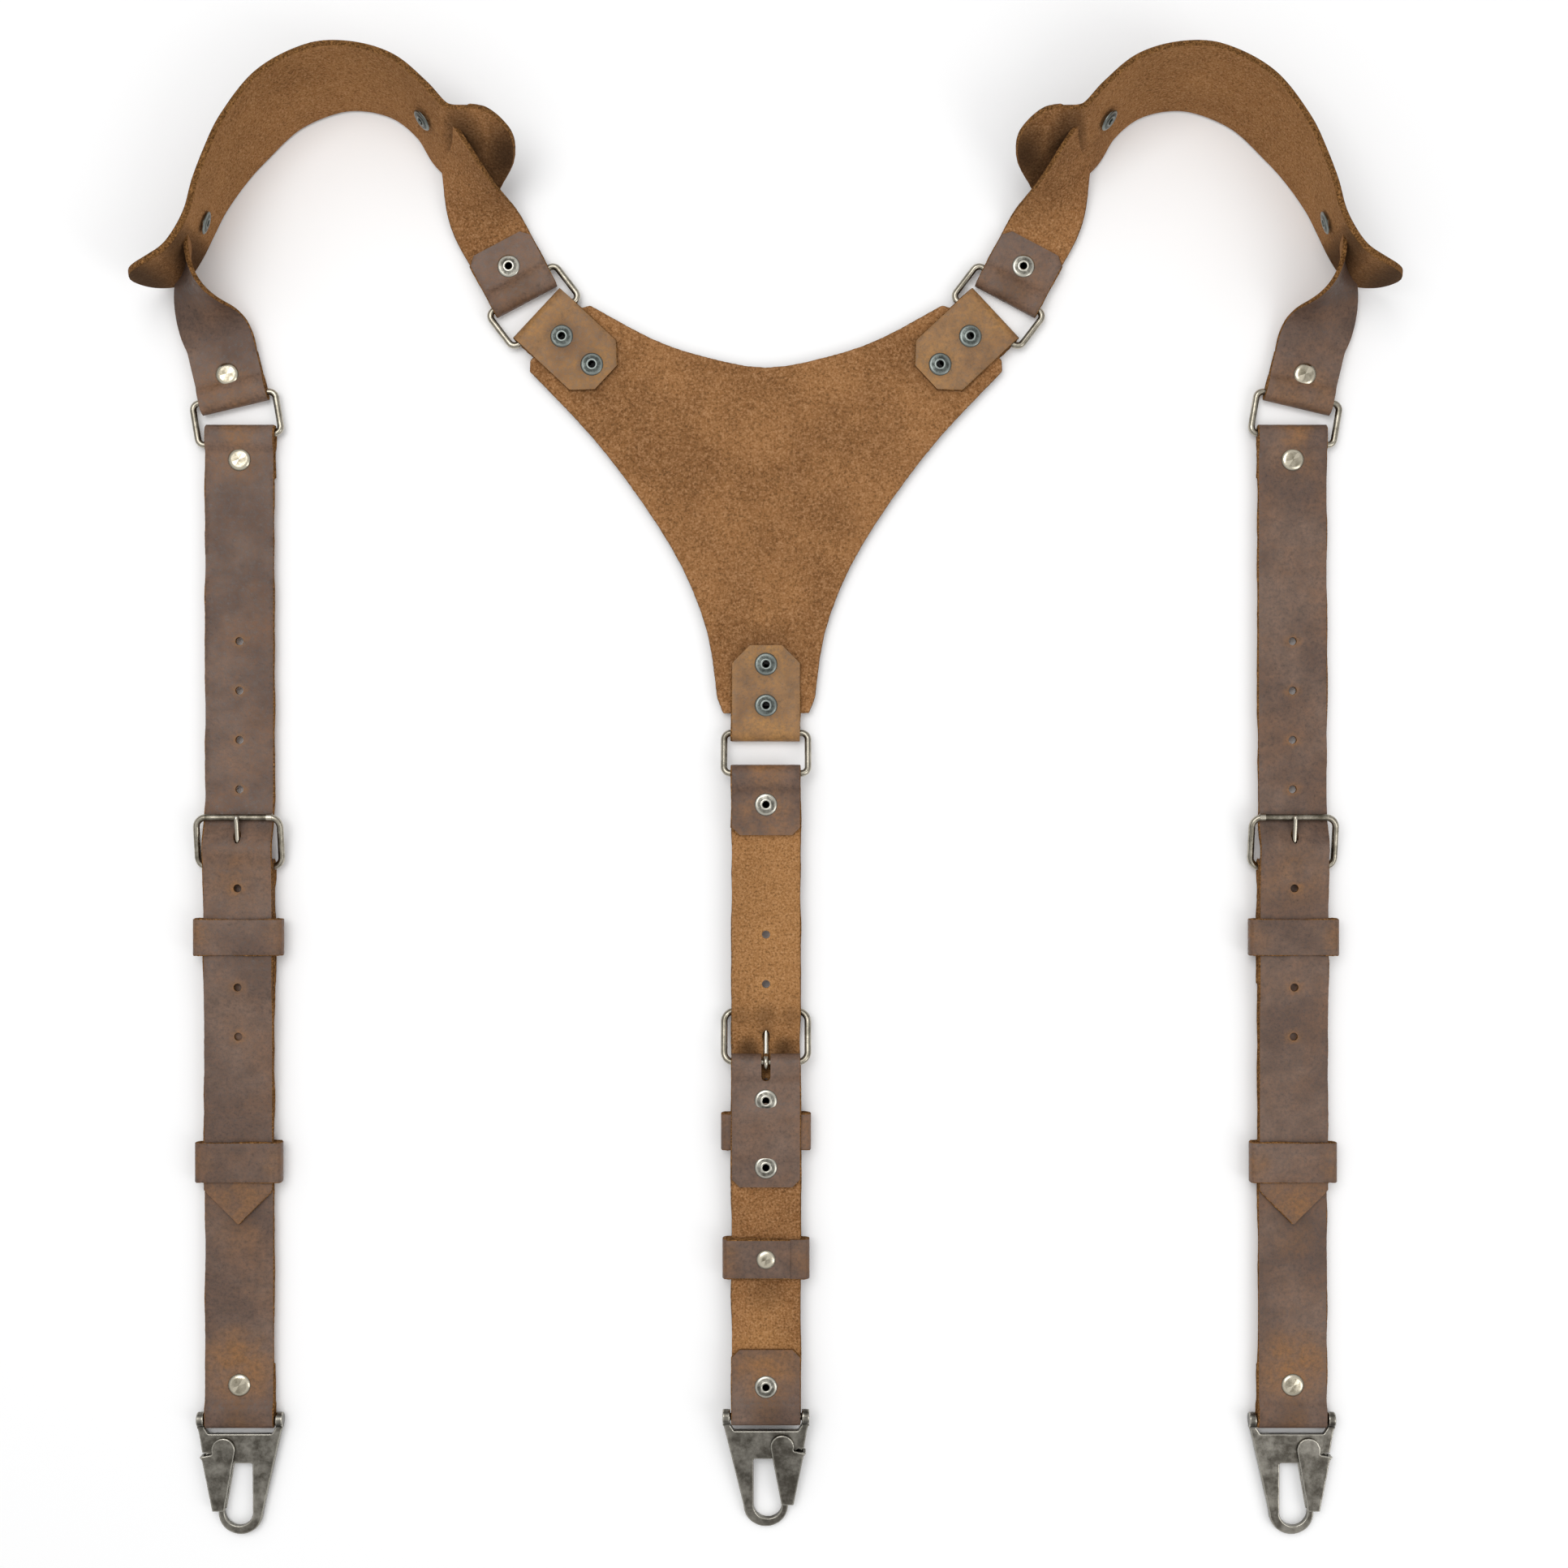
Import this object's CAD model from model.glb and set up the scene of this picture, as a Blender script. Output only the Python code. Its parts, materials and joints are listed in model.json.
# Leather Y-back suspenders with padded shoulders, laid flat on a pale table and seen from above.
import json
import math

import bpy
import bmesh
from mathutils import Matrix, Vector, noise


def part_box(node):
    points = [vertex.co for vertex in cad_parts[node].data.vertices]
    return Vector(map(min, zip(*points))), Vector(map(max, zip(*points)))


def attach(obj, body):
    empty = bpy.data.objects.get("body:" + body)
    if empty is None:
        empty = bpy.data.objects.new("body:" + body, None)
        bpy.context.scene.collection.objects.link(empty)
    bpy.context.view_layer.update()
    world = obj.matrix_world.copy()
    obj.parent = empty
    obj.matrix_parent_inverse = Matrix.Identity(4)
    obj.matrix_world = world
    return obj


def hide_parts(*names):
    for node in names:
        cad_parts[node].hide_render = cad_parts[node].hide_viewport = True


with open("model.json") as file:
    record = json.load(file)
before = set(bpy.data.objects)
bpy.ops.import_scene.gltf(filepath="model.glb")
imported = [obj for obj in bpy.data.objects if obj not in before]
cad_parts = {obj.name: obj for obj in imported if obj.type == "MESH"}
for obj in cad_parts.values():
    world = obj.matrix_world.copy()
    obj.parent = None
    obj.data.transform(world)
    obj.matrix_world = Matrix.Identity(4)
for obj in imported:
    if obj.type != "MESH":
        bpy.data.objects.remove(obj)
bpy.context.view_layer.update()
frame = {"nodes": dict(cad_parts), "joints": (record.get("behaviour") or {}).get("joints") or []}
MM = 0.001
scene = bpy.context.scene

# ---------------------------------------------------------------- sizes, in mm

joint = {j["name"]: j for j in frame["joints"]}


def joint_at(name):
    return Vector(joint[name]["pos_m"]) / MM


def low_high(node):
    low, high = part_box(node)
    return Vector(low) / MM, Vector(high) / MM


def extent(node):
    low, high = low_high(node)
    return high - low


strap_w = extent("front_strap_left").x
leather_t = extent("back_yoke").z
bar_r = extent("ring_front_left").z / 2
bend_gap = 0.3
eye_r = bar_r + bend_gap
nose_r = eye_r + leather_t
mid_r = eye_r + leather_t / 2          # middle of the leather on its way round a bar
skew = math.degrees(math.atan2(joint["ring_front_left_swing"]["axis"][1],
                               joint["ring_front_left_swing"]["axis"][0]))
back_ring_turn = math.degrees(math.atan2(joint["ring_back_left_swing"]["axis"][1],
                                         joint["ring_back_left_swing"]["axis"][0]))
slight_skew = 3.9
skew_reach = nose_r + strap_w / 2 * math.tan(math.radians(skew))
slight_reach = nose_r + strap_w / 2 * math.tan(math.radians(slight_skew))
eye_run = strap_w * math.tan(math.radians(skew)) - bend_gap   # the eye's sides stay open this far
eye_taper = 3.6                        # then close in this run
layer_gap = 0.1
pin_gap = 0.08
prong_room = 0.35
trim = 0.1                             # a strap is this much narrower than the frame's
corner_cut = 3

front_bar = joint_at("front_strap_left_swing")
back_bar = joint_at("back_strap_swing")
bar_z = front_bar.z
front_heel = joint_at("prong_left_lift").y - front_bar.y
back_heel = joint_at("prong_back_lift").y - back_bar.y
front_hook = joint_at("clip_left_swing").y - front_bar.y
back_hook = joint_at("clip_back_swing").y - back_bar.y
front_tail = low_high("front_strap_left")[0].y - front_bar.y
back_tail = low_high("back_strap")[0].y - back_bar.y
keeper_t = 1.6
fixed_half_w = extent("keeper_fixed_left").x / 2 - keeper_t
sliding_half_w = extent("keeper_sliding_left").x / 2 - keeper_t
fixed_len = extent("keeper_fixed_left").y
sliding_len = extent("keeper_sliding_left").y
front_slide = sum((low_high("keeper_sliding_left")[k].y for k in (0, 1))) / 2 - front_bar.y
back_slide = sum((low_high("keeper_sliding_back")[k].y for k in (0, 1))) / 2 - back_bar.y
rivet_r = extent("front_strap_rivet_left").x / 2
head_h = 1.0
hole_r = 1.6
hole_pitch = 19.5
prong_r = 1.1
buckle_pitch = 19.6
buckle_rise = leather_t * 1.5 + bar_r + 0.45
buckle_tilt = math.asin(buckle_rise / math.hypot(buckle_pitch, buckle_rise))
keeper_drop, first_rivet, second_rivet = 27.5, 15.0, 41.2
lower_flap, tail_rests, tail_tip = 49.0, 62.0, 13.5
hump = leather_t / 2 + nose_r + 0.5
bulge, bulge_at, prong_hole = hump + 1.3, 7.0, 11.2
under_bar = buckle_rise - bar_r - leather_t / 2 - prong_room
under_bar_at = buckle_pitch - 0.6
carry = 1.5 * leather_t + head_h + 0.3
rest_on = 1.5 * leather_t + layer_gap

# ---------------------------------------------------------------- colours and materials


def paint(code):
    """A linear colour from an sRGB hex code."""
    parts = [int(code[k:k + 2], 16) / 255 for k in (1, 3, 5)]
    return [c / 12.92 if c <= 0.04045 else ((c + 0.055) / 1.055) ** 2.4 for c in parts] + [1.0]


def add(tree, kind, inputs=None, **settings):
    """One shader node: its settings, then its inputs as values or as links from sockets."""
    made = tree.nodes.new(kind)
    for key, value in settings.items():
        setattr(made, key, value)
    for key, value in (inputs or {}).items():
        if isinstance(value, bpy.types.NodeSocket):
            tree.links.new(value, made.inputs[key])
        else:
            made.inputs[key].default_value = value
    return made


def material(name):
    made = bpy.data.materials.new(name)
    made.use_nodes = True
    tree = made.node_tree
    return made, tree, tree.nodes["Principled BSDF"]


def cloud(tree, place, size_mm, detail=4.0, rough=0.6):
    """Noise whose features are about size_mm across, from 0 to 1."""
    return add(tree, "ShaderNodeTexNoise", {"Vector": place, "Scale": 1 / (size_mm * MM),
                                            "Detail": detail, "Roughness": rough}).outputs["Fac"]


def spread(tree, value, low, high):
    return add(tree, "ShaderNodeMapRange", {"Value": value, "From Min": low, "From Max": high},
               interpolation_type="SMOOTHSTEP").outputs["Result"]


def blend_colour(tree, share, first, second, mode="MIX"):
    made = add(tree, "ShaderNodeMix", data_type="RGBA", blend_type=mode)
    for socket, value in ((made.inputs[0], share), (made.inputs[6], first), (made.inputs[7], second)):
        if isinstance(value, bpy.types.NodeSocket):
            tree.links.new(value, socket)
        else:
            socket.default_value = value
    return made.outputs[2]


def scaled(tree, value, factor):
    return add(tree, "ShaderNodeMath", {0: value, 1: factor}, operation="MULTIPLY").outputs[0]


def place_of(tree):
    return add(tree, "ShaderNodeTexCoord").outputs["Object"]


def attribute(tree, name):
    return add(tree, "ShaderNodeAttribute", attribute_name=name).outputs["Fac"]


def relief(tree, shader, heights):
    """Stacked bumps, each as (height socket, depth in mm)."""
    normal = None
    for height, depth in heights:
        inputs = {"Height": height, "Distance": depth * MM, "Strength": 1.0}
        if normal is not None:
            inputs["Normal"] = normal
        normal = add(tree, "ShaderNodeBump", inputs).outputs["Normal"]
    tree.links.new(normal, shader.inputs["Normal"])


def grain_leather(name, base, deep, warm, worn):
    """Oiled grain side: cloudy grey-brown, rubbed golden where it is handled, a fine pebble."""
    made, tree, shader = material(name)
    at = place_of(tree)
    clouds = spread(tree, cloud(tree, at, 34), 0.36, 0.64)
    bands = spread(tree, cloud(tree, at, 19, 3), 0.42, 0.68)
    smudges = spread(tree, cloud(tree, at, 6, 5, 0.7), 0.4, 0.72)
    fine = spread(tree, cloud(tree, at, 1.5, 6, 0.8), 0.3, 0.7)
    colour = blend_colour(tree, clouds, paint(deep), paint(base))
    colour = blend_colour(tree, scaled(tree, bands, 0.5), colour, paint(warm))
    colour = blend_colour(tree, scaled(tree, smudges, 0.3), colour, paint("#4d4138"))
    rub = add(tree, "ShaderNodeMath", {0: attribute(tree, "wear"), 1: spread(
        tree, cloud(tree, at, 9, 3, 0.6), 0.2, 0.7)}, operation="MULTIPLY",
              use_clamp=True).outputs[0]
    colour = blend_colour(tree, rub, colour, paint(worn))
    colour = blend_colour(tree, 0.5, colour, blend_colour(tree, fine, paint("#3b342f"),
                                                          paint("#cfc0b2")), "OVERLAY")
    colour = blend_colour(tree, attribute(tree, "soil"), colour, paint("#2f241e"), "MIX")
    tree.links.new(colour, shader.inputs["Base Color"])
    tree.links.new(spread(tree, fine, -0.8, 1.7), shader.inputs["Roughness"])
    shader.inputs["Specular IOR Level"].default_value = 0.28
    pebble = add(tree, "ShaderNodeTexVoronoi", {"Vector": at, "Scale": 1 / (0.8 * MM)},
                 feature="SMOOTH_F1").outputs["Distance"]
    relief(tree, shader, [(pebble, 0.05), (cloud(tree, at, 0.5, 3), 0.05),
                          (cloud(tree, at, 9, 3), 0.7)])
    return made


def flesh_leather(name, base, deep, pale):
    """Suede flesh side: golden brown nap with pale tufts standing up and dark pits between."""
    made, tree, shader = material(name)
    at = place_of(tree)
    clouds = spread(tree, cloud(tree, at, 30, 5), 0.36, 0.64)
    tufts = spread(tree, cloud(tree, at, 2.4, 4, 0.7), 0.3, 0.7)
    nap = cloud(tree, at, 0.85, 4, 0.7)
    colour = blend_colour(tree, clouds, paint(deep), paint(base))
    colour = blend_colour(tree, scaled(tree, attribute(tree, "wear"), 0.8), colour, paint(pale))
    colour = blend_colour(tree, scaled(tree, tufts, 0.16), colour, paint("#c69a6c"))
    colour = blend_colour(tree, scaled(tree, spread(tree, nap, 0.5, 0.66), 0.3), colour,
                          paint("#dcae84"))
    colour = blend_colour(tree, scaled(tree, spread(tree, nap, 0.5, 0.34), 0.5), colour,
                          paint("#1c120b"))
    colour = blend_colour(tree, attribute(tree, "soil"), colour, paint("#2a1c12"))
    tree.links.new(colour, shader.inputs["Base Color"])
    shader.inputs["Roughness"].default_value = 0.95
    shader.inputs["Specular IOR Level"].default_value = 0.08
    shader.inputs["Sheen Weight"].default_value = 0.12
    shader.inputs["Sheen Roughness"].default_value = 0.5
    shader.inputs["Sheen Tint"].default_value = paint("#b08a5c")
    relief(tree, shader, [(nap, 0.3), (cloud(tree, at, 2.4, 4), 0.35),
                          (cloud(tree, at, 16, 3), 0.8)])
    return made


def raw_edge():
    """Cut edge: tan fibres, rough and streaked, with dark gaps."""
    made, tree, shader = material("raw cut leather edge")
    at = place_of(tree)
    fibre = spread(tree, cloud(tree, at, 0.8, 6, 0.8), 0.34, 0.66)
    colour = blend_colour(tree, fibre, paint("#43290f"), paint("#b5824e"))
    tree.links.new(colour, shader.inputs["Base Color"])
    shader.inputs["Roughness"].default_value = 1.0
    shader.inputs["Specular IOR Level"].default_value = 0.1
    relief(tree, shader, [(fibre, 0.3)])
    return made


def metal(name, bright, dull, roughness, patina_mm, pit=0.02, dent=0.08):
    """Antiqued nickel: bright where it is rubbed, brown-black in the hollows."""
    made, tree, shader = material(name)
    at = place_of(tree)
    rubbed = spread(tree, add(tree, "ShaderNodeNewGeometry").outputs["Pointiness"], 0.502, 0.53)
    stain = spread(tree, cloud(tree, at, patina_mm, 6, 0.7), 0.34, 0.7)
    share = add(tree, "ShaderNodeMath", {0: scaled(tree, stain, 0.6), 1: rubbed},
                operation="ADD", use_clamp=True).outputs[0]
    colour = blend_colour(tree, share, paint(dull), paint(bright))
    tree.links.new(colour, shader.inputs["Base Color"])
    shader.inputs["Metallic"].default_value = 1.0
    gloss = add(tree, "ShaderNodeMapRange", {"Value": share, "To Min": roughness + 0.14,
                                             "To Max": roughness}).outputs["Result"]
    tree.links.new(gloss, shader.inputs["Roughness"])
    relief(tree, shader, [(cloud(tree, at, 0.6, 5, 0.7), pit), (cloud(tree, at, 4, 3), dent)])
    return made


def plain(name, colour, roughness):
    """An even surface of one colour."""
    made, tree, shader = material(name)
    shader.inputs["Base Color"].default_value = paint(colour)
    shader.inputs["Roughness"].default_value = roughness
    return made


# Cool grey-brown straps, tan rubbed tabs and golden brown suede, with tan fibres at the cuts.
GRAIN = grain_leather("oiled grain leather", "#7c685c", "#665349", "#82644f", "#916a43")
TAB_GRAIN = grain_leather("rubbed pale grain leather", "#9e7b55", "#876747", "#a98152",
                          "#b68a50")
FLESH = flesh_leather("suede flesh side", "#95683f", "#7f5632", "#ac7c4b")
EDGE = raw_edge()
# Metal that shines where it is rubbed; the cast hooks are darker, the pads' tubes are dull.
WIRE = metal("antique nickel wire", "#b8b1a2", "#5d574a", 0.2, 5)
CAST = metal("antiqued die-cast zinc", "#a9a59b", "#4b4740", 0.22, 9, 0.03)
CAP = metal("antique nickel rivet", "#c4bca9", "#665f4e", 0.22, 3, 0.01, 0.02)
TUBE = metal("antique nickel rivet tube", "#b4b1a6", "#4c4a43", 0.26, 3, 0.01, 0.02)
DULL_TUBE = metal("tarnished rivet tube", "#7c827e", "#3b3f3c", 0.34, 2, 0.01, 0.02)
SPRING = metal("spring steel", "#b8b6ae", "#7a7870", 0.25, 3)
BORE = plain("dark bore of a rivet", "#0b0a09", 0.9)
LEATHER = [GRAIN, FLESH, EDGE]        # a strip's upper side, underside and cut edges

# ---------------------------------------------------------------- meshes


def mesh_object(name, points, faces, place, materials, slots=None, smooth=True):
    """A mesh from points in mm, put into the CAD frame by the matrix place (mm to mm)."""
    flip = place.to_3x3().determinant() < 0
    data = bpy.data.meshes.new(name)
    data.from_pydata([(place @ Vector(p)) * MM for p in points], [],
                     [tuple(reversed(f)) if flip else tuple(f) for f in faces])
    for m in materials:
        data.materials.append(m)
    if slots:
        data.polygons.foreach_set("material_index", slots)
    data.polygons.foreach_set("use_smooth", [smooth] * len(faces))
    made = bpy.data.objects.new(name, data)
    scene.collection.objects.link(made)
    return made


def settle(obj):
    """Makes the modifiers' result the object's own mesh."""
    bpy.context.view_layer.update()
    shaped = bpy.data.meshes.new_from_object(obj.evaluated_get(
        bpy.context.evaluated_depsgraph_get()))
    obj.modifiers.clear()
    obj.data = shaped


def cut_away(obj, cutters):
    """Takes the cutters' volume out of obj; the walls that appear are raw edge."""
    cutter = cutters[0]
    if len(cutters) > 1:
        with bpy.context.temp_override(active_object=cutter, selected_editable_objects=cutters):
            bpy.ops.object.join()
    tool = obj.modifiers.new("holes", "BOOLEAN")
    tool.operation = "DIFFERENCE"
    tool.solver = "EXACT"
    tool.material_mode = "TRANSFER"
    tool.object = cutter
    settle(obj)
    bpy.data.objects.remove(cutter)


def peg(place, radius, height, stretch=1.0, sides=20):
    """A cutter: a cylinder along the Z of place, stretched along its Y."""
    ring = [(radius * math.cos(2 * math.pi * k / sides),
             radius * stretch * math.sin(2 * math.pi * k / sides)) for k in range(sides)]
    points = [(x, y, -height / 2) for x, y in ring] + [(x, y, height / 2) for x, y in ring]
    faces = [tuple(range(sides - 1, -1, -1)), tuple(range(sides, 2 * sides))]
    faces += [(k, (k + 1) % sides, (k + 1) % sides + sides, k + sides) for k in range(sides)]
    return mesh_object("cutter", points, faces, place, [EDGE], smooth=False)


def block(place, low, high):
    points = [(x, y, z) for z in (low[2], high[2]) for y in (low[1], high[1])
              for x in (low[0], high[0])]
    faces = [(0, 2, 3, 1), (4, 5, 7, 6), (0, 1, 5, 4), (2, 6, 7, 3), (0, 4, 6, 2), (1, 3, 7, 5)]
    return mesh_object("cutter", points, faces, place, [EDGE], smooth=False)


def paint_spots(obj, wear=(), soil=()):
    """Stores how worn and how soiled each vertex is. A spot is (x, y in mm, reach, strength)."""
    for name, spots in (("wear", wear), ("soil", soil)):
        layer = obj.data.attributes.new(name, "FLOAT", "POINT")
        for v, cell in zip(obj.data.vertices, layer.data):
            total = 0.0
            for x, y, reach, strength in spots:
                away = math.hypot(v.co.x / MM - x, v.co.y / MM - y) / reach
                total += strength * max(0.0, 1 - away * away)
            cell.value = min(1.0, total)


def distances(path):
    """How far along the path each of its samples is."""
    walked = [0.0]
    for a, b in zip(path, path[1:]):
        walked.append(walked[-1] + (Vector(b[:3]) - Vector(a[:3])).length)
    return walked


def evenly(path, step):
    """The same open path with samples about step mm apart; a sample is a tuple of numbers."""
    walked = distances(path)
    count = max(2, round(walked[-1] / step))
    made, i = [], 0
    for k in range(count + 1):
        at = walked[-1] * k / count
        while i < len(path) - 2 and walked[i + 1] < at:
            i += 1
        share = (at - walked[i]) / max(1e-9, walked[i + 1] - walked[i])
        made.append(tuple(a + (b - a) * min(1.0, share) for a, b in zip(path[i], path[i + 1])))
    return made


def skin(rings, n):
    """Faces over a row of rings of n points each, closed at both ends."""
    faces = []
    for i in range(rings - 1):
        for k in range(n):
            a, b = i * n + k, i * n + (k + 1) % n
            faces.append((a, b, b + n, a + n))
    last = n * (rings - 1)
    return faces + [tuple(range(n - 1, -1, -1)), tuple(range(last, last + n))]


def strip(name, path, width, thick, place, materials, ragged=0.12, across=12, seed=0.0):
    """Leather along a path of (x, y, z, up x, up y, up z): the grain is on the up side.
    width is a function of (distance from the start, distance to the end)."""
    walked = distances(path)
    points = []
    bevel = 0.35
    rows = [-1 + 2 * k / across for k in range(across + 1)]
    for i, sample in enumerate(path):
        here = Vector(sample[:3])
        ahead = (Vector(path[min(i + 1, len(path) - 1)][:3])
                 - Vector(path[max(i - 1, 0)][:3])).normalized()
        up = Vector(sample[3:6])
        up = (up - ahead * up.dot(ahead)).normalized()
        side = ahead.cross(up)
        half = width(walked[i], walked[-1] - walked[i]) / 2
        depth = (sample[6] if len(sample) > 6 else thick) / 2
        flat = max(0.2, half - bevel)
        rough = [noise.noise(Vector((walked[i] / 1.1, 7.7 * q + seed, 3.1))) * ragged
                 + noise.noise(Vector((walked[i] / 14, 5.1 * q + seed, 9.4))) * 0.5
                 for q in (0, 1)]
        ring = [(s * flat, depth) for s in rows]
        ring += [(half + rough[0] - 0.08, depth * 0.72), (half + rough[0], 0.0),
                 (half + rough[0] - 0.05, -depth * 0.72)]
        ring += [(-s * flat, -depth) for s in rows]
        ring += [(-half + rough[1] + 0.05, -depth * 0.72), (-half + rough[1], 0.0),
                 (-half + rough[1] + 0.08, depth * 0.72)]
        points += [here + side * s + up * h for s, h in ring]
    faces = skin(len(path), len(ring))
    grain, flesh, edge = range(3)
    around = [grain] * across + [edge] * 4 + [flesh] * across + [edge] * 4
    slots = around * (len(path) - 1) + [edge, edge]
    made = mesh_object(name, points, faces, place, materials, slots)
    made.data.polygons[len(faces) - 1].use_smooth = False
    made.data.polygons[len(faces) - 2].use_smooth = False
    sharpen(made)
    return made


def sharpen(obj, degrees=50):
    """Keeps corners that are sharper than this angle crisp."""
    data = bmesh.new()
    data.from_mesh(obj.data)
    bmesh.ops.recalc_face_normals(data, faces=data.faces)
    limit = math.radians(degrees)
    for e in data.edges:
        e.smooth = not (len(e.link_faces) == 2 and e.calc_face_angle() > limit)
    data.to_mesh(obj.data)
    data.free()


def lathe(name, profile, place, mat, sides=36):
    """A turned piece from (radius, height) pairs, along the Z of place."""
    points = []
    for r, z in profile:
        points += [(r * math.cos(2 * math.pi * k / sides), r * math.sin(2 * math.pi * k / sides), z)
                   for k in range(sides)]
    made = mesh_object(name, points, skin(len(profile), sides), place, [mat])
    sharpen(made)
    return made


def wire(name, path, radii, place, mat, sides=16):
    """A round wire through points in mm, its ends rounded off."""
    points = []
    side = Vector((1, 0, 0))
    for i, here in enumerate(path):
        ahead = (path[min(i + 1, len(path) - 1)] - path[max(i - 1, 0)]).normalized()
        other = ahead.cross(side)
        points += [here + (side * math.cos(2 * math.pi * k / sides)
                           + other * math.sin(2 * math.pi * k / sides)) * radii[i]
                   for k in range(sides)]
    made = mesh_object(name, points, skin(len(path), sides), place, [mat])
    sharpen(made)
    return made


def join(name, parts):
    """Several objects as one, under one name."""
    if len(parts) > 1:
        with bpy.context.temp_override(active_object=parts[0], selected_editable_objects=parts):
            bpy.ops.object.join()
    parts[0].name = name
    return parts[0]


def finish_piece(obj, body, *nodes):
    """The piece moves with the body and is seen in place of these nodes."""
    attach(obj, body)
    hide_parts(*nodes)


# ---------------------------------------------------------------- places

mirror = Matrix.Diagonal((-1, 1, 1, 1))


def moved(x, y, z):
    return Matrix.Translation((x, y, z))


def turned(degrees, axis):
    return Matrix.Rotation(math.radians(degrees), 4, axis)


def side_of(name):
    return mirror if name == "right" else Matrix.Identity(4)


def at_front(name):
    return side_of(name) @ moved(*front_bar)


at_back = moved(*back_bar) @ turned(180, "Y")
back_tab_bar = joint_at("ring_back_left_swing")
back_strap_bar = joint_at("shoulder_left_swing")
front_pad_bar = joint_at("ring_front_left_swing")
back_strap_turn = back_ring_turn + 90 - skew
front_loop_turn = skew + 90 + slight_skew
tab_places = {
    "left": moved(*back_tab_bar) @ turned(back_ring_turn + skew, "Z"),
    "right": mirror @ moved(*back_tab_bar) @ turned(back_ring_turn + skew, "Z"),
    "bottom": moved(*joint_at("ring_bottom_swing")) @ turned(180, "Z"),
}


def ease(x):
    x = max(0.0, min(1.0, x))
    return x * x * (3 - 2 * x)


# ---------------------------------------------------------------- paths of the leather


def round_bar(nose_y, end_y, main_y, facing=1, inside=0.0):
    """(y, z) middle of a strap from its return end (below) round a bar and back above it.
    facing is the way the loop points, inside is half the room between the two layers."""
    rest_z = leather_t / 2 + inside
    open_z = mid_r
    y1 = nose_y - facing * eye_run
    y2 = y1 - facing * eye_taper
    run = [(end_y + (y2 - end_y) * k / 12, -rest_z) for k in range(13)]
    run += [(y2 + (y1 - y2) * k / 8, -rest_z - (open_z - rest_z) * ease(k / 8)) for k in range(1, 9)]
    run += [(nose_y, -open_z)]
    run += [(nose_y + facing * open_z * math.sin(math.pi * k / 14),
             -open_z * math.cos(math.pi * k / 14)) for k in range(1, 14)]
    run += [(nose_y, open_z)]
    run += [(y1 + (y2 - y1) * k / 8, open_z - (open_z - rest_z) * ease(k / 8)) for k in range(9)]
    run += [(y2 + (main_y - y2) * k / 6, rest_z) for k in range(1, 7)]
    return run


def raised(run, step, lift=None):
    """A (y, z) run as strip samples, the up side to the right of the way it goes from below."""
    flat = [(0.0, y, z) for y, z in run]
    even = evenly(flat, step)
    if lift:
        even = [(x, y, z + lift(y, z)) for x, y, z in even]
    made = []
    for i, (x, y, z) in enumerate(even):
        a, b = even[max(i - 1, 0)], even[min(i + 1, len(even) - 1)]
        ty, tz = b[1] - a[1], b[2] - a[2]
        made.append((x, y, z, 0.0, tz, -ty))
    return made


def strap_height(y, heel):
    """Middle of the hanging strap, under the free bar, over the prong and the heel bar, and down
    onto the lower strap."""
    up, top, flat = y - heel, buckle_pitch + 9, leather_t / 2
    if up > under_bar_at:
        return flat + (under_bar - flat) * ease((top - up) / (top - under_bar_at))
    if up > bulge_at:
        return under_bar + (bulge - under_bar) * ease((under_bar_at - up)
                                                      / (under_bar_at - bulge_at))
    if up > 0:
        return hump + (bulge - hump) * ease(up / bulge_at)
    if y > heel - first_rivet + 3:
        return hump + (carry - hump) * ease((heel - y) / (first_rivet - 3))
    if y > heel - second_rivet - 5:
        return carry
    return carry + (rest_on - carry) * ease((heel - second_rivet - 5 - y)
                                            / (tail_rests - second_rivet - 5))


def corners(width, cut_start, cut_end):
    """A strap's width along its length, with the corners of both ends cut off."""
    return lambda from_start, to_end: (width - 2 * max(0.0, cut_start - from_start)
                                       - 2 * max(0.0, cut_end - to_end))


def pointed(width, cut, tip):
    """The same with a pointed tail at the far end."""
    def at(from_start, to_end):
        w = width - 2 * max(0.0, cut - from_start)
        return min(w, max(1.2, width * (to_end + 0.4) / tip))
    return at


def rivet(place, low, high, cap, name, back=None):
    """A rivet from low to high along Z: a flattened dome at the cap end (+1 or -1) and a rolled
    tube end at the other."""
    r, h, back = rivet_r, head_h, back or TUBE
    turn = Matrix.Identity(4) if cap > 0 else turned(180, "X")
    z0, z1 = (low, high) if cap > 0 else (-high, -low)
    dome = [(0.01, z0 + 0.6), (1.9, z0 + 0.6), (1.9, z1), (r * 0.96, z1), (r, z1 + 0.16 * h),
            (r * 0.97, z1 + 0.38 * h), (r * 0.86, z1 + 0.7 * h), (r * 0.74, z1 + 0.9 * h),
            (r * 0.62, z1 + 0.98 * h), (0.01, z1 + h)]
    tube = [(0.01, z0 + 0.5), (1.25, z0 + 0.5), (1.3, z0 - 0.5 * h), (1.45, z0 - 0.84 * h),
            (1.75, z0 - 0.93 * h), (2.1, z0 - 0.88 * h), (2.5, z0 - 0.66 * h), (3.2, z0 - 0.6 * h),
            (3.9, z0 - 0.5 * h), (r * 0.97, z0 - 0.28 * h), (r, z0 - 0.05 * h), (r * 0.94, z0),
            (1.9, z0), (1.9, z0 + 0.55), (0.01, z0 + 0.55)]
    depth = z0 - 0.15
    return join(name, [lathe("cap", dome, place @ turn, CAP), lathe("tube", tube, place @ turn, back),
                       lathe("bore", [(0.01, depth), (1.3, depth)], place @ turn, BORE)])


# ---------------------------------------------------------------- hanging straps


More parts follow.
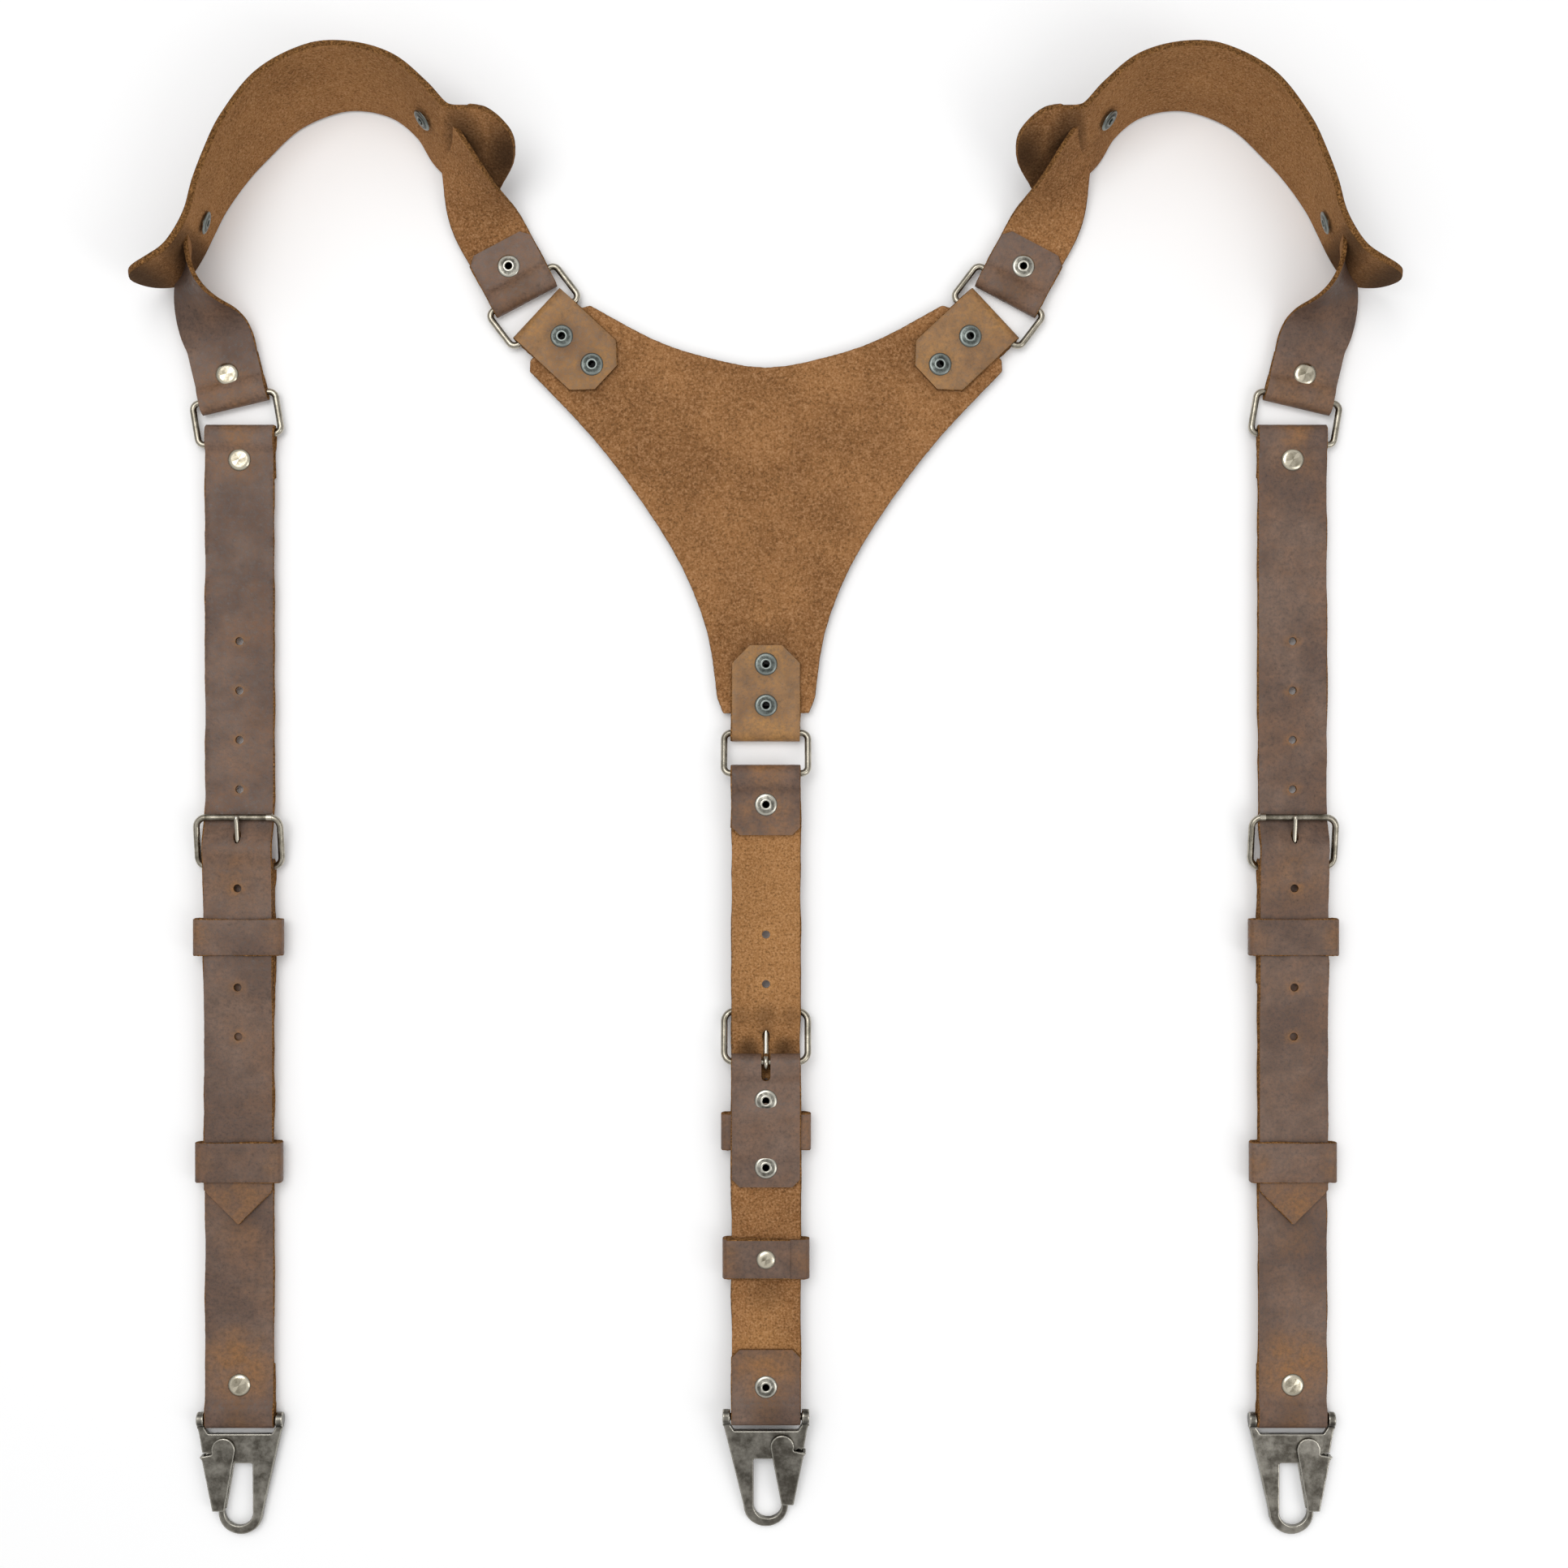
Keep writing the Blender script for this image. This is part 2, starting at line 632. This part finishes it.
def holes_of(heel, ups, downs):
    """Adjustment holes above and below the one that the prong goes through."""
    first = heel + prong_hole
    return [first + k * hole_pitch for k in ups] + [first - k * hole_pitch for k in downs]


def hanging_strap(place, body, tag, reach, flap, rivet_at, heel, tail, hook, slide, hook_rivet,
                  hook_flap, holes, nodes):
    """Upper strap, buckle, lower strap, keepers and rivets of one hanging strap."""

    def worn_y(y):
        return place @ Vector((0, y, 0))

    # upper strap
    run = round_bar(reach - nose_r, reach - flap, reach - 30)
    top = heel + buckle_pitch + 9
    run += [(reach - 30 + (top - reach + 30) * k / 20, leather_t / 2) for k in range(1, 20)]
    run += [(top - k, strap_height(top - k, heel)) for k in range(0, int(top - tail))]
    run += [(tail, rest_on)]
    upper = strip("upper_strap_" + tag, raised(run, 1.5), pointed(strap_w - trim, corner_cut, tail_tip),
                  leather_t, place, LEATHER, seed=len(tag))
    pegs = [peg(place @ moved(0, y, 0), hole_r, 30) for y in holes]
    slope = place @ moved(0, heel, 0) @ turned(math.degrees(buckle_tilt), "X") @ \
        moved(0, buckle_pitch / 2 + 1, bar_r + pin_gap + prong_r) @ turned(90, "X")
    pegs.append(peg(slope, prong_r + 0.4, buckle_pitch, 1.25))
    cut_away(upper, pegs)
    sharpen(upper)
    spots = [(*worn_y(y)[:2], reach_mm, strength) for y, reach_mm, strength in
             ((reach - 1, 9, 0.8), (reach - rivet_at, 12, 0.4), (heel - 4, 16, 0.4),
              (tail + 6, 20, 0.75))]
    spots += [(*worn_y(y)[:2], 3.2, 1.2) for y in holes]
    # dark marks of the buckle: x, y above the heel bar, reach, strength
    marks = [(-10, 18, 5, 0.35), (0, 18, 6, 0.4), (10, 18, 5, 0.35), (0, prong_hole, 3, 0.5)]
    if body == "back_strap":
        spots.append((*worn_y(heel + 52)[:2], 62, 0.7))
        marks += [(-7, 4.5, 6, 0.75), (7, 4.5, 6, 0.75)]
    dark = [(*(place @ Vector((x, heel + y, 0)))[:2], reach_mm, strength)
            for x, y, reach_mm, strength in marks]
    paint_spots(upper, spots, dark)
    finish_piece(upper, body, nodes["strap"])
    # lower strap
    keep_y = heel - keeper_drop
    room = keeper_t / 2 + 0.12

    def opened(y, z):
        """How far a layer stands away to let the fixed keeper's back pass between the two."""
        return math.copysign(room * ease((fixed_len / 2 + 5.5 - abs(y - keep_y)) / 5), z)

    low_run = round_bar(heel, heel - lower_flap, heel - 30)
    low_run += [(heel - 30 - k, leather_t / 2) for k in range(1, int(heel - 30 - hook - 26))]
    low_run += [(y, -z) for y, z in round_bar(hook, hook + 25, hook + hook_flap - nose_r, -1)]
    lower = strip("lower_strap_" + tag, raised(low_run, 1.5, opened),
                  corners(strap_w - trim, corner_cut, corner_cut), leather_t, place, LEATHER,
                  seed=len(tag) + 9.0)
    slot = 1.8
    cut_away(lower, [block(place, (-slot, heel - 5.5, -9), (slot, heel + 9, 9))])
    cut_away(lower, [peg(place @ moved(0, heel - 5.5, 0), slot * 0.99, 18)])
    sharpen(lower)
    spots = [(*worn_y(y)[:2], reach_mm, strength) for y, reach_mm, strength in
             ((hook + hook_rivet + 8, 17, 1.0), (hook + 1, 7, 0.5), (tail - 6, 10, 0.4))]
    paint_spots(lower, spots, [(*worn_y(hook + 2)[:2], 9, 0.35), (*worn_y(tail + 3)[:2], 9, 0.3)])
    finish_piece(lower, body, nodes["lower"])
    # rivets
    top_rivet = rivet(place @ moved(0, reach - rivet_at, 0), -leather_t, leather_t, 1,
                      "strap_rivet_" + tag)
    finish_piece(top_rivet, body, nodes["rivet"])
    lows = [rivet(place @ moved(0, y, 0), -leather_t, leather_t, 1, "low")
            for y in (heel - first_rivet, heel - second_rivet, hook + hook_rivet)]
    finish_piece(join("lower_rivets_" + tag, lows), body, nodes["rivets"])
    # keepers
    fixed = keeper("fixed_keeper_" + tag, place @ moved(0, keep_y, 0), fixed_len, fixed_half_w,
                   keeper_t / 2, carry + leather_t / 2 + 0.2)
    finish_piece(fixed, body, nodes["fixed"])
    low, high = -0.3, rest_on + leather_t / 2 + 0.3
    sliding = keeper("sliding_keeper_" + tag, place @ moved(0, slide, 0), sliding_len,
                     sliding_half_w, low, high, True)
    finish_piece(sliding, nodes["keeper_body"], nodes["sliding"])
    r = rivet_r * 0.84
    z = low - keeper_t - 0.55
    head = [(0.01, 0.2), (1.9, 0.2), (1.9, 0), (r * 0.95, 0), (r, -0.2), (r * 0.93, -0.55),
            (r * 0.7, -0.85), (r * 0.35, -0.95), (0.01, -0.95)]
    pin = lathe("keeper_pin_" + tag, [(a, z + b) for a, b in head], place @ moved(0, slide, 0), CAP)
    finish_piece(pin, nodes["keeper_body"], nodes["pin"])
    # prong, from its eye on the heel bar over the free bar
    lean = turned(math.degrees(buckle_tilt), "X")
    eye = bar_r + pin_gap + prong_r
    long = math.hypot(buckle_pitch, buckle_rise)
    curl = [Vector((0, eye * math.sin(a), eye * math.cos(a)))
            for a in [math.radians(-310 + 310 * k / 26) for k in range(27)]]
    curl += [Vector((0, 2 + (long - 4) * k / 10, eye)) for k in range(11)]
    curl += [Vector((0, long + 2.2 * math.sin(a) - 0.6, eye - 1.6 * (1 - math.cos(a))))
             for a in [math.radians(12 * k) for k in range(1, 6)]]
    thick = [prong_r * 0.94] * (len(curl) - 9) + [prong_r * (0.94 - 0.022 * k) for k in range(7)]
    thick += [prong_r * 0.62, prong_r * 0.22]
    pin = wire("prong_" + tag, curl, thick, place @ moved(0, heel, 0) @ lean, WIRE)
    finish_piece(pin, nodes["prong_body"], nodes["prong"])


def keeper(name, place, length, half_w, z0, z1, lapped=False):
    """A loop of leather round the strap, its opening 2 * half_w wide and from z0 to z1."""
    half = half_w + keeper_t / 2
    low, high = z0 - keeper_t / 2, z1 + keeper_t / 2
    r = min(1.9, (high - low) / 2 - 0.05)
    ends = [(half - r, high - r, 0), (-half + r, high - r, 90), (-half + r, low + r, 180),
            (half - r, low + r, 270)]
    loop = [(0.0, low)]
    loop += [(x, low) for x in (half / 3, half - r - 1)]
    for x, z, start in (ends[3], ends[0], ends[1], ends[2]):
        loop += [(x + r * math.cos(math.radians(start + 10 * k)),
                  z + r * math.sin(math.radians(start + 10 * k))) for k in range(10)]
    loop += [(x, low) for x in (-half / 3, -0.05)]
    run = evenly([(x, 0.0, z) for x, z in loop], 1.0)
    samples = []
    for i, (x, y, z) in enumerate(run):
        a, b = run[max(i - 1, 0)], run[min(i + 1, len(run) - 1)]
        tx, tz = b[0] - a[0], b[2] - a[2]
        samples.append((x, y, z, tz, 0.0, -tx))
    band = strip(name, samples, lambda a, b: length, keeper_t, place, LEATHER, 0.25, 8, length)
    parts = [band]
    if lapped:
        flap = [(x, 0.0, low - keeper_t / 2 - 0.3, 0.0, 0.0, -1.0)
                for x in [-9.5 + (half + 8.6) * k / 20 for k in range(21)]]
        parts.append(strip("flap", flap, lambda a, b: length - 0.6, 0.6, place, LEATHER, 0.25, 8, 4.4))
    made = join(name, parts)
    middle = place @ Vector((half, 0, 0)), place @ Vector((-half, 0, 0))
    paint_spots(made, [(p.x, p.y, 8, 0.55) for p in middle], [])
    return made


front_holes = holes_of(front_heel, (1, 2, 3, 4), (1, 2, 3, 4))
front_holes = [y for y in front_holes if y > front_tail + 20]
back_holes = holes_of(back_heel, (1, 2), (1, 2, 3, 4))
back_holes = [y for y in back_holes if y > back_tail + 12]
for name in ("left", "right"):
    hanging_strap(at_front(name), "front_strap_" + name, name, skew_reach, 23.8, 14.1, front_heel,
                  front_tail, front_hook, front_slide, 14.0, 28.0, front_holes,
                  {"strap": "front_strap_" + name, "lower": "lower_strap_" + name,
                   "rivet": "front_strap_rivet_" + name, "rivets": "lower_strap_rivets_" + name,
                   "fixed": "keeper_fixed_" + name, "sliding": "keeper_sliding_" + name,
                   "pin": "keeper_rivet_" + name, "keeper_body": "keeper_" + name,
                   "prong": "buckle_prong_" + name, "prong_body": "prong_" + name})
hanging_strap(at_back, "back_strap", "back", nose_r, 27.7, 15.7, back_heel, back_tail, back_hook,
              back_slide, 12.0, 30.0, back_holes,
              {"strap": "back_strap", "lower": "back_lower_strap", "rivet": "back_strap_rivet",
               "rivets": "back_lower_rivets", "fixed": "keeper_fixed_back",
               "sliding": "keeper_sliding_back", "pin": "keeper_rivet_back",
               "keeper_body": "keeper_back", "prong": "buckle_prong_back",
               "prong_body": "prong_back"})

# ---------------------------------------------------------------- yoke and its tabs

tab_len, tab_rivets, tab_cut = 38.0, (14.2, 30.5), 7.0
tab_mid = leather_t + layer_gap / 2


def tab_reach(name):
    return nose_r if name == "bottom" else skew_reach


yoke_spots, yoke_rivets = [], []
for name, place in tab_places.items():
    reach = tab_reach(name)
    nose = reach - nose_r
    end = reach - tab_len
    run = [(end + (nose - eye_run - 4 - end) * k / 10, -tab_mid) for k in range(11)]
    run += [(nose - eye_run - 4 + 4 * k / 6, -tab_mid - (mid_r - tab_mid) * ease(k / 6))
            for k in range(1, 7)]
    run += [(nose + mid_r * math.sin(math.pi * k / 14), -mid_r * math.cos(math.pi * k / 14))
            for k in range(15)]
    run += [(y, -z) for y, z in reversed(run[:17])]
    tab = strip("tab_" + name, raised(run, 1.2), corners(strap_w - trim, tab_cut, tab_cut),
                leather_t, place, [TAB_GRAIN, FLESH, EDGE], 0.18, seed=len(name) * 1.7)
    spots = [place @ Vector((0, y, 0)) for y in (end + 5, nose)]
    soil = [place @ Vector((0, reach - u, 0)) for u in tab_rivets]
    paint_spots(tab, [(p.x, p.y, 12, 0.7) for p in spots], [(p.x, p.y, 6.5, 0.45) for p in soil])
    finish_piece(tab, "yoke", "yoke_tab_" + name)
    stack = 1.5 * leather_t + layer_gap / 2
    yoke_rivets += [rivet(place @ moved(0, reach - u, 0), -stack, stack, -1, "yoke_rivet", DULL_TUBE)
                    for u in tab_rivets]
    yoke_spots.append(place @ Vector((0, end + 6, 0)))
finish_piece(join("yoke_rivets_all", yoke_rivets), "yoke", "yoke_rivets")


def even_mesh(obj, step):
    """Welds the frame's triangles and gives them an even mesh with cells of step mm."""
    weld = obj.modifiers.new("weld", "WELD")
    weld.merge_threshold = 0.01 * MM
    remesh = obj.modifiers.new("even", "REMESH")
    remesh.mode = "VOXEL"
    remesh.voxel_size = step * MM
    remesh.use_smooth_shade = True


def sheet_from_node(name, node, step, materials):
    """The node's flat sheet with an even fine mesh and softened edges, its materials by side."""
    made = bpy.data.objects.new(name, frame["nodes"][node].data.copy())
    made.data.materials.clear()
    scene.collection.objects.link(made)
    even_mesh(made, step)
    settle(made)
    for m in materials:
        made.data.materials.append(m)
    for face in made.data.polygons:
        face.material_index = 1 if face.normal.z > 0.75 else 0 if face.normal.z < -0.75 else 2
    return made


yoke = sheet_from_node("yoke_sheet", "back_yoke", 0.6, LEATHER)
for v in yoke.data.vertices:
    x, y = v.co.x / MM, v.co.y / MM
    v.co.z += 0.1 * MM * noise.noise(Vector((x / 9, y / 9, 2.2)))
    fray = [noise.noise(Vector((x / 1.3, y / 1.3, layer))) for layer in (5, 8)]
    v.co += Vector((*fray, 0)) * 0.12 * MM
paint_spots(yoke, [], [(p.x, p.y, 17, 0.22) for p in yoke_spots])
finish_piece(yoke, "yoke", "back_yoke")

# ---------------------------------------------------------------- shoulders

half_pad = 23.0
pad_t = 2.4
lobe = 18.0                    # length of a pad's rounded end
pad_z = half_pad * math.sin(math.radians(75)) + 0.9     # middle of the pad where it leans
pad_up = half_pad + 0.5                                 # and where it stands upright
pad_rivets = 0.303, 0.682      # shares of the strap's route
loop_flat = 24.0               # a loop lies flat this far from its fold, then the strap twists
back_loop_flap, back_loop_rivet = 25.8, 15.7
front_loop_flap, front_loop_rivet = 23.0, 13.5
# The routes below were laid out round a front ring at this place, and move with it.
keys_ring_x, keys_ring_y, keys_front_x = -208, 145, -165
lay_y = (front_pad_bar.y + front_bar.y) / 2 - keys_ring_y
shift_x = front_bar.x - keys_ring_x


def unit(degrees):
    return Vector((math.cos(math.radians(degrees)), math.sin(math.radians(degrees)), 0))


def loop_point(bar, turn, reach, along, height):
    p = Vector((bar.x, bar.y, 0)) + unit(turn) * (along - reach)
    return (p.x, p.y, height)


# Routes from the back ring to the front ring: x, y, z and roll. A roll of 0 lies flat with
# the flesh side up, 90 stands on edge with the flesh side inwards, 180 lies with the grain up.
pad_keys = [
    (-97.5, 241.5, pad_z + 1, 50), (-101.5, 243, pad_z + 1, 52), (-108, 244.8, pad_z + 0.5, 56),
    (-116, 246.5, pad_z, 63), (-125, 251, pad_z, 71), (-133, 261, pad_z, 75),
    (-144, 270, pad_z, 75), (-158, 274, pad_z, 75), (-172, 273, pad_z, 75),
    (-188.5, 265, pad_z, 77), (-201.5, 251, pad_z, 81), (-209.3, 239.5, pad_z, 86),
    (-215, 228.5, pad_up, 90), (-219, 218, pad_up, 93), (-223, 209.8, pad_up, 93),
    (-227.5, 203.3, pad_up, 92), (-233, 199, pad_up, 90), (-239.5, 197, pad_up, 90),
    (-245.5, 196.3, pad_up, 90)]
run_keys = [
    (-112.5, 224.5, 7, 20), (-116, 234, 14, 46), (-119, 243, 19.5, 62), (-124.5, 252.5, pad_z, 71),
    (-131, 262.8, pad_z, 75), (-143, 272.5, pad_z, 75), (-158, 276.8, pad_z, 75),
    (-173, 275.8, pad_z, 75), (-190.1, 267.1, pad_z, 77), (-203.5, 252.6, pad_z, 81),
    (-211.5, 240.8, pad_z, 86), (-217.4, 229.6, pad_z, 90), (-221.4, 219, pad_z, 93),
    (-223.8, 208.5, pad_z - 1.5, 99), (-224.9, 199.5, 19, 113), (-223.2, 190.8, 12, 135),
    (-220.4, 183, 6.9, 158)]


def lying(keys):
    """Keys moved with the lay; the front half also follows the front strap sideways."""
    return [(x + (shift_x if x < keys_front_x else 0), y + lay_y, *rest) for x, y, *rest in keys]


def spline(keys, steps):
    """Catmull-Rom through the keys."""
    made = []
    for i in range(len(keys) - 1):
        a, b = keys[max(i - 1, 0)], keys[i]
        c, d = keys[i + 1], keys[min(i + 2, len(keys) - 1)]
        for j in range(steps):
            t = j / steps
            made.append(tuple(0.5 * (2 * q + (r - p) * t + (2 * p - 5 * q + 4 * r - s) * t * t
                                     + (3 * q - p - 3 * r + s) * t ** 3)
                              for p, q, r, s in zip(a, b, c, d)))
    return made + [tuple(keys[-1])]


def smoothed(samples, times):
    """Each sample drawn towards its neighbours, so that a twist runs evenly; the ends stay."""
    for _ in range(times):
        samples = samples[:1] + [tuple(0.25 * p + 0.5 * q + 0.25 * r for p, q, r in zip(a, b, c))
                                 for a, b, c in zip(samples, samples[1:], samples[2:])] + samples[-1:]
    return samples


def flesh_way(samples, i):
    """The way that the flesh side faces at a sample."""
    ahead = (Vector(samples[min(i + 1, len(samples) - 1)][:3])
             - Vector(samples[max(i - 1, 0)][:3])).normalized()
    right = Vector((ahead.y, -ahead.x, 0)).normalized()
    roll = math.radians(samples[i][3])
    return math.cos(roll) * right.cross(ahead) - math.sin(roll) * right


def with_up(samples):
    """Routes of x, y, z and roll as strip samples."""
    return [(*s[:3], *(-flesh_way(samples, i))) for i, s in enumerate(samples)]


back_loop_place = moved(*back_strap_bar) @ turned(back_strap_turn + 90, "Z") @ turned(180, "Y")
front_loop_place = moved(*front_pad_bar) @ turned(front_loop_turn + 90, "Z")


def loop_samples(place, reach, flap, backwards):
    """Samples of a loop's leather in the CAD frame, from its return end to its main run."""
    run = raised(round_bar(reach - nose_r, reach - flap, reach - loop_flat + 4), 1.5)
    made = []
    for s in run:
        at, up = place @ Vector(s[:3]), place.to_3x3() @ Vector(s[3:6])
        made.append((*at, *up))
    return list(reversed(made)) if backwards else made


strap_keys = [(*loop_point(back_strap_bar, back_strap_turn, skew_reach, u, bar_z - leather_t / 2), 0)
              for u in (loop_flat - 4, loop_flat + 1.5, loop_flat + 4)]
strap_keys += lying(run_keys)
strap_keys += [(*loop_point(front_pad_bar, front_loop_turn, slight_reach, u, bar_z + leather_t / 2),
                180) for u in (loop_flat + 4, loop_flat + 1.5, loop_flat - 4)]
strap_line = smoothed(spline(strap_keys, 10), 90)
strap_run = with_up(strap_line)
shoulder_path = loop_samples(back_loop_place, skew_reach, back_loop_flap, False)
shoulder_path += strap_run[1:-1]
shoulder_path += loop_samples(front_loop_place, slight_reach, front_loop_flap, True)
pad_line = spline(lying(pad_keys), 10)


def pad_width(from_start, to_end):
    """The pad's width along its route, its two ends rounded off as lobes."""
    return 2 * half_pad * math.sqrt(max(0.01, 1 - (1 - min(1.0, from_start / lobe,
                                                         to_end / lobe)) ** 2))


def on_strap(share):
    """A place on the strap's route, its Z out of the flesh side."""
    i = round(share * (len(strap_line) - 1))
    flesh = flesh_way(strap_line, i)
    ahead = (Vector(strap_line[i + 1][:3]) - Vector(strap_line[i - 1][:3])).normalized()
    x = flesh.cross(ahead).normalized() * -1
    y = flesh.cross(x)
    made = Matrix.Identity(4)
    for k in range(3):
        made[k][0], made[k][1], made[k][2], made[k][3] = x[k], y[k], flesh[k], strap_line[i][k]
    return made


for name in ("left", "right"):
    body = "shoulder_" + name
    place = side_of(name)
    strap = strip("shoulder_leather_" + name, evenly(shoulder_path, 1.5),
                  corners(strap_w - 2 * trim, corner_cut, corner_cut), leather_t, place,
                  LEATHER, seed=3.3)
    p, q = place @ back_strap_bar, place @ front_pad_bar
    paint_spots(strap, [(p.x, p.y, 18, 0.35), (q.x, q.y, 16, 0.6)], [(p.x, p.y, 9, 0.25)])
    finish_piece(strap, body, "shoulder_strap_" + name)
    pad = strip("shoulder_pad_leather_" + name, evenly(with_up(pad_line), 0.6), pad_width,
                pad_t, place, LEATHER, 0.2, 26, seed=6.1)
    marks = [place @ Vector((*p, 0)) for p in lying(((-116, 248), (-225, 207)))]
    rim = [place @ Vector(p[:3]) for p in pad_line[::6]]
    soil = [(m.x, m.y, 9, 0.75) for m in marks]
    soil += [(p.x, p.y, 12, 0.3) for p in rim[:3] + rim[-3:]]
    paint_spots(pad, [(p.x, p.y, 16, 0.16) for p in rim[8:-8]], soil)
    finish_piece(pad, body, "shoulder_pad_" + name)
    inner = leather_t / 2 + pad_t + 1.2
    parts = [rivet(place @ on_strap(share), -leather_t / 2 - 0.25, inner, -1, "pad_rivet",
                   DULL_TUBE) for share in pad_rivets]
    parts += [rivet(place @ loop @ moved(0, y, 0), -leather_t, leather_t, 1, "loop_rivet")
              for loop, y in ((back_loop_place, skew_reach - back_loop_rivet),
                              (front_loop_place, slight_reach - front_loop_rivet))]
    finish_piece(join("shoulder_rivets_all_" + name, parts), body, "shoulder_rivets_" + name)

# ---------------------------------------------------------------- metal from the frame


def clad(obj, mat):
    obj.data.materials.clear()
    obj.data.materials.append(mat)


for node, obj in frame["nodes"].items():
    if node.startswith(("ring_", "buckle_frame")):
        clad(obj, WIRE)
        obj.data.polygons.foreach_set("use_smooth", [True] * len(obj.data.polygons))
    elif node.startswith(("clip_body", "clip_gate")):
        clad(obj, CAST)
        even_mesh(obj, 0.24)
        soft = obj.modifiers.new("worn edges", "SMOOTH")
        soft.iterations = 9
        soft.factor = 0.5
    elif node.startswith(("clip_spring", "clip_pivot")):
        clad(obj, SPRING if "spring" in node else CAP)

# ---------------------------------------------------------------- table, light and camera

table_mat = plain("pale table", "#fbfbfb", 0.9)
table_half = 20000
table = mesh_object("table", [(x * table_half, y * table_half, 0)
                              for x, y in ((-1, -1), (1, -1), (1, 1), (-1, 1))],
                    [(0, 1, 2, 3)], Matrix.Identity(4), [table_mat], smooth=False)

world = bpy.data.worlds.new("studio")
scene.world = world
world.use_nodes = True
sky = world.node_tree
height = add(sky, "ShaderNodeSeparateXYZ", {0: add(sky, "ShaderNodeTexCoord").outputs["Generated"]})
tint = blend_colour(sky, spread(sky, height.outputs["Z"], -0.1, 0.9), paint("#55575b"),
                    paint("#ffffff"))
sky.links.new(tint, sky.nodes["Background"].inputs["Color"])
sky.nodes["Background"].inputs["Strength"].default_value = 0.86


def soft_light(name, at, size, power, aim=(0, 0, 0)):
    data = bpy.data.lights.new(name, "AREA")
    data.shape = "RECTANGLE"
    data.size, data.size_y = size
    data.energy = power
    made = bpy.data.objects.new(name, data)
    made.location = at
    made.rotation_euler = (Vector(aim) - Vector(at)).to_track_quat("-Z", "Y").to_euler()
    scene.collection.objects.link(made)


soft_light("overhead softbox", (-0.35, 0.45, 1.5), (1.1, 0.8), 9)
soft_light("side softbox", (0.9, -0.5, 1.0), (0.5, 0.9), 3)

camera_data = bpy.data.cameras.new("camera")
camera_data.sensor_width = 36
camera_data.lens = 52
camera_data.dof.use_dof = False
camera = bpy.data.objects.new("camera", camera_data)
camera_height = 0.9
camera.location = (0.0071, 0.0003 + lay_y * MM, camera_height)
scene.collection.objects.link(camera)
scene.camera = camera
scene.view_settings.view_transform = "Standard"
